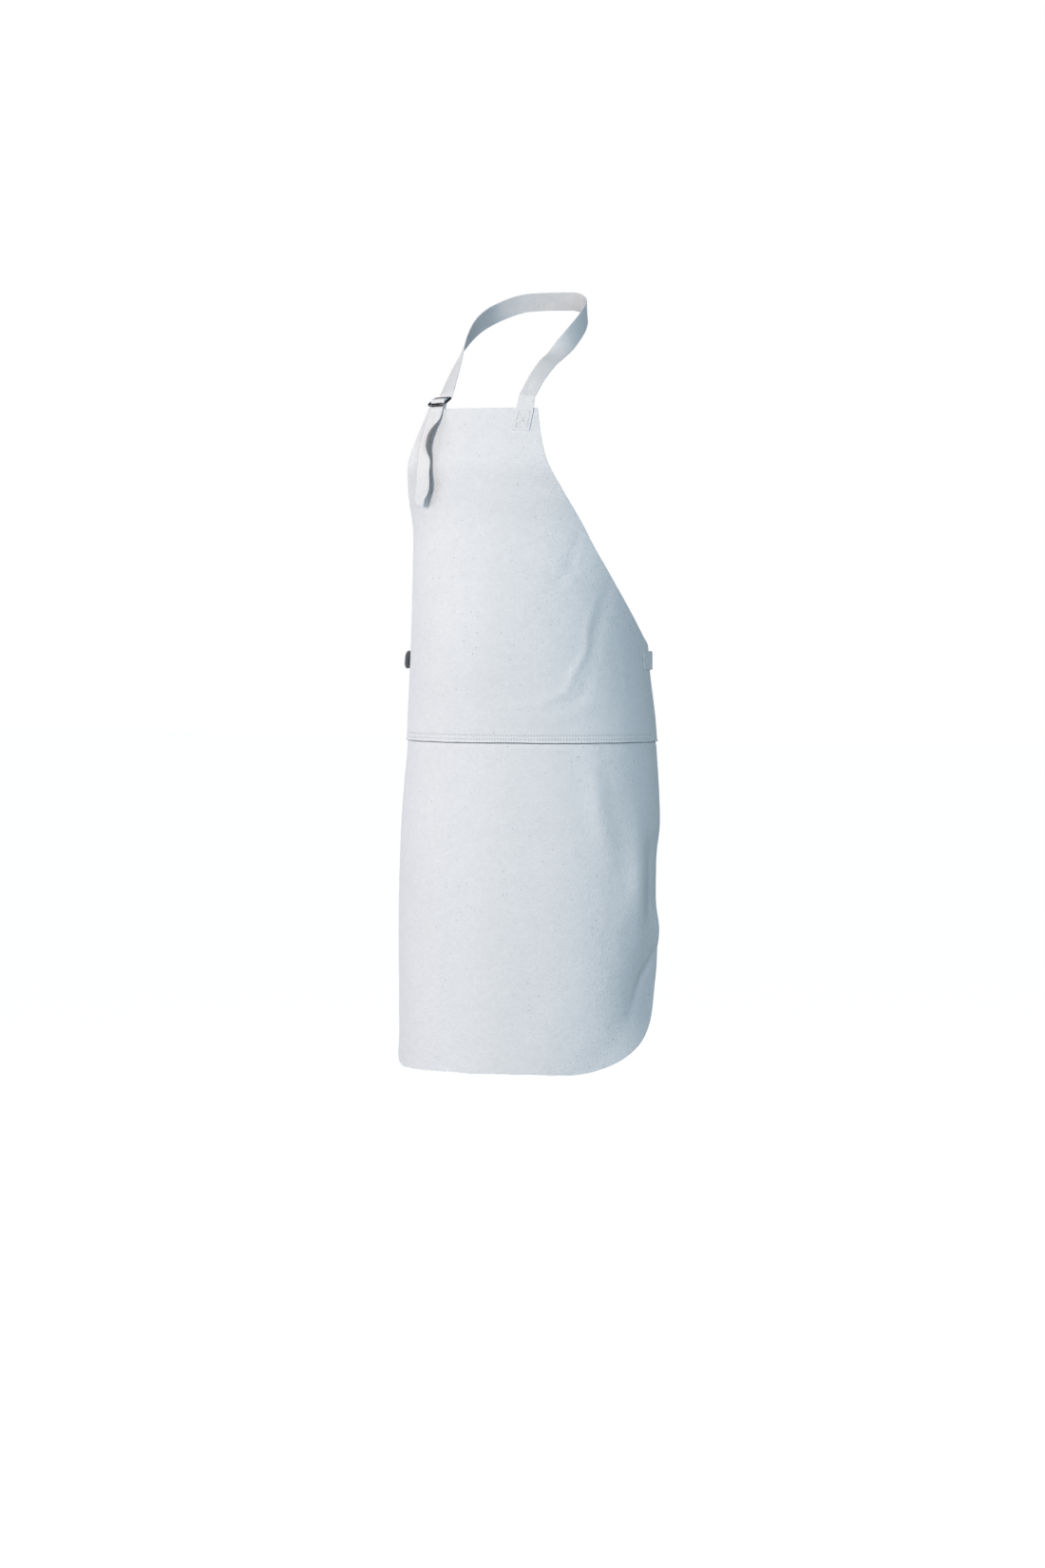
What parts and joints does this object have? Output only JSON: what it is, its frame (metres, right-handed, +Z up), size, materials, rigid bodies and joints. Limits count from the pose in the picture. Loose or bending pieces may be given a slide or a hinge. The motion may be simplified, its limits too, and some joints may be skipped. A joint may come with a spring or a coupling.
{
  "type": "welding apron",
  "caption": "Split-leather welding apron: a bib lapped over a wide skirt, hung from a neck strap and held by a waist strap, each with a wire roller slide buckle.",
  "frame": {"origin": "middle of the neck strap's inner face behind the neck, where the apron hangs", "axes": "+Z up, the wearer faces -Y, +X is the wearer's left"},
  "size_m": [0.3866, 0.2665, 1.0625],
  "materials": {
    "apron_suede": "matte napped split leather, pale grey-white",
    "strap_leather": "matte smooth-sided strap leather, pale grey-white",
    "thread": "matte twisted sewing thread, off-white",
    "buckle_metal": "polished nickel-chrome plated steel wire"
  },
  "bodies": {
    "apron": {"bib_panel": "apron_suede", "skirt_panel": "apron_suede", "waist_seam_thread_lower": "thread", "waist_seam_thread_upper": "thread", "neck_strap": "strap_leather", "neck_strap_thread": "thread", "neck_buckle_tab": "strap_leather", "neck_buckle_tab_thread": "thread", "waist_strap": "strap_leather", "waist_strap_thread": "thread", "waist_buckle_tab": "strap_leather", "waist_buckle_tab_thread": "thread"},
    "neck_buckle": {"neck_buckle_frame": "buckle_metal", "neck_buckle_centre_bar": "buckle_metal"},
    "neck_roller": {"neck_buckle_roller": "buckle_metal"},
    "neck_tail": {"neck_strap_tail": "strap_leather"},
    "waist_buckle": {"waist_buckle_frame": "buckle_metal", "waist_buckle_centre_bar": "buckle_metal"},
    "waist_roller": {"waist_buckle_roller": "buckle_metal"},
    "waist_tail": {"waist_strap_tail": "strap_leather"}
  },
  "joints": [
    {"name": "neck_buckle_tilt", "type": "hinge", "parent": "apron", "child": "neck_buckle", "pos_m": [-0.07025, -0.17942, -0.13969], "axis": [0.9781, -0.2054, 0.0334], "range_deg": [-3, 3]},
    {"name": "neck_roller_spin", "type": "hinge", "parent": "neck_buckle", "child": "neck_roller", "pos_m": [-0.07157, -0.18643, -0.1443], "axis": [0.9781, -0.2054, 0.0334], "continuous": true},
    {"name": "neck_tail_swing", "type": "hinge", "parent": "apron", "child": "neck_tail", "pos_m": [-0.07143, -0.18709, -0.15222], "axis": [-0.9781, 0.2054, -0.0334], "range_deg": [0, 60]},
    {"name": "waist_buckle_tilt", "type": "hinge", "parent": "apron", "child": "waist_buckle", "pos_m": [-0.15503, -0.00421, -0.49284], "axis": [0.0916, -0.0345, 0.9952], "range_deg": [-3, 3]},
    {"name": "waist_roller_spin", "type": "hinge", "parent": "waist_buckle", "child": "waist_roller", "pos_m": [-0.16292, -0.00731, -0.49222], "axis": [0.0916, -0.0345, 0.9952], "continuous": true},
    {"name": "waist_tail_swing", "type": "hinge", "parent": "apron", "child": "waist_tail", "pos_m": [-0.16512, -0.01494, -0.49228], "axis": [-0.0916, 0.0345, -0.9952], "range_deg": [0, 50]}
  ]
}
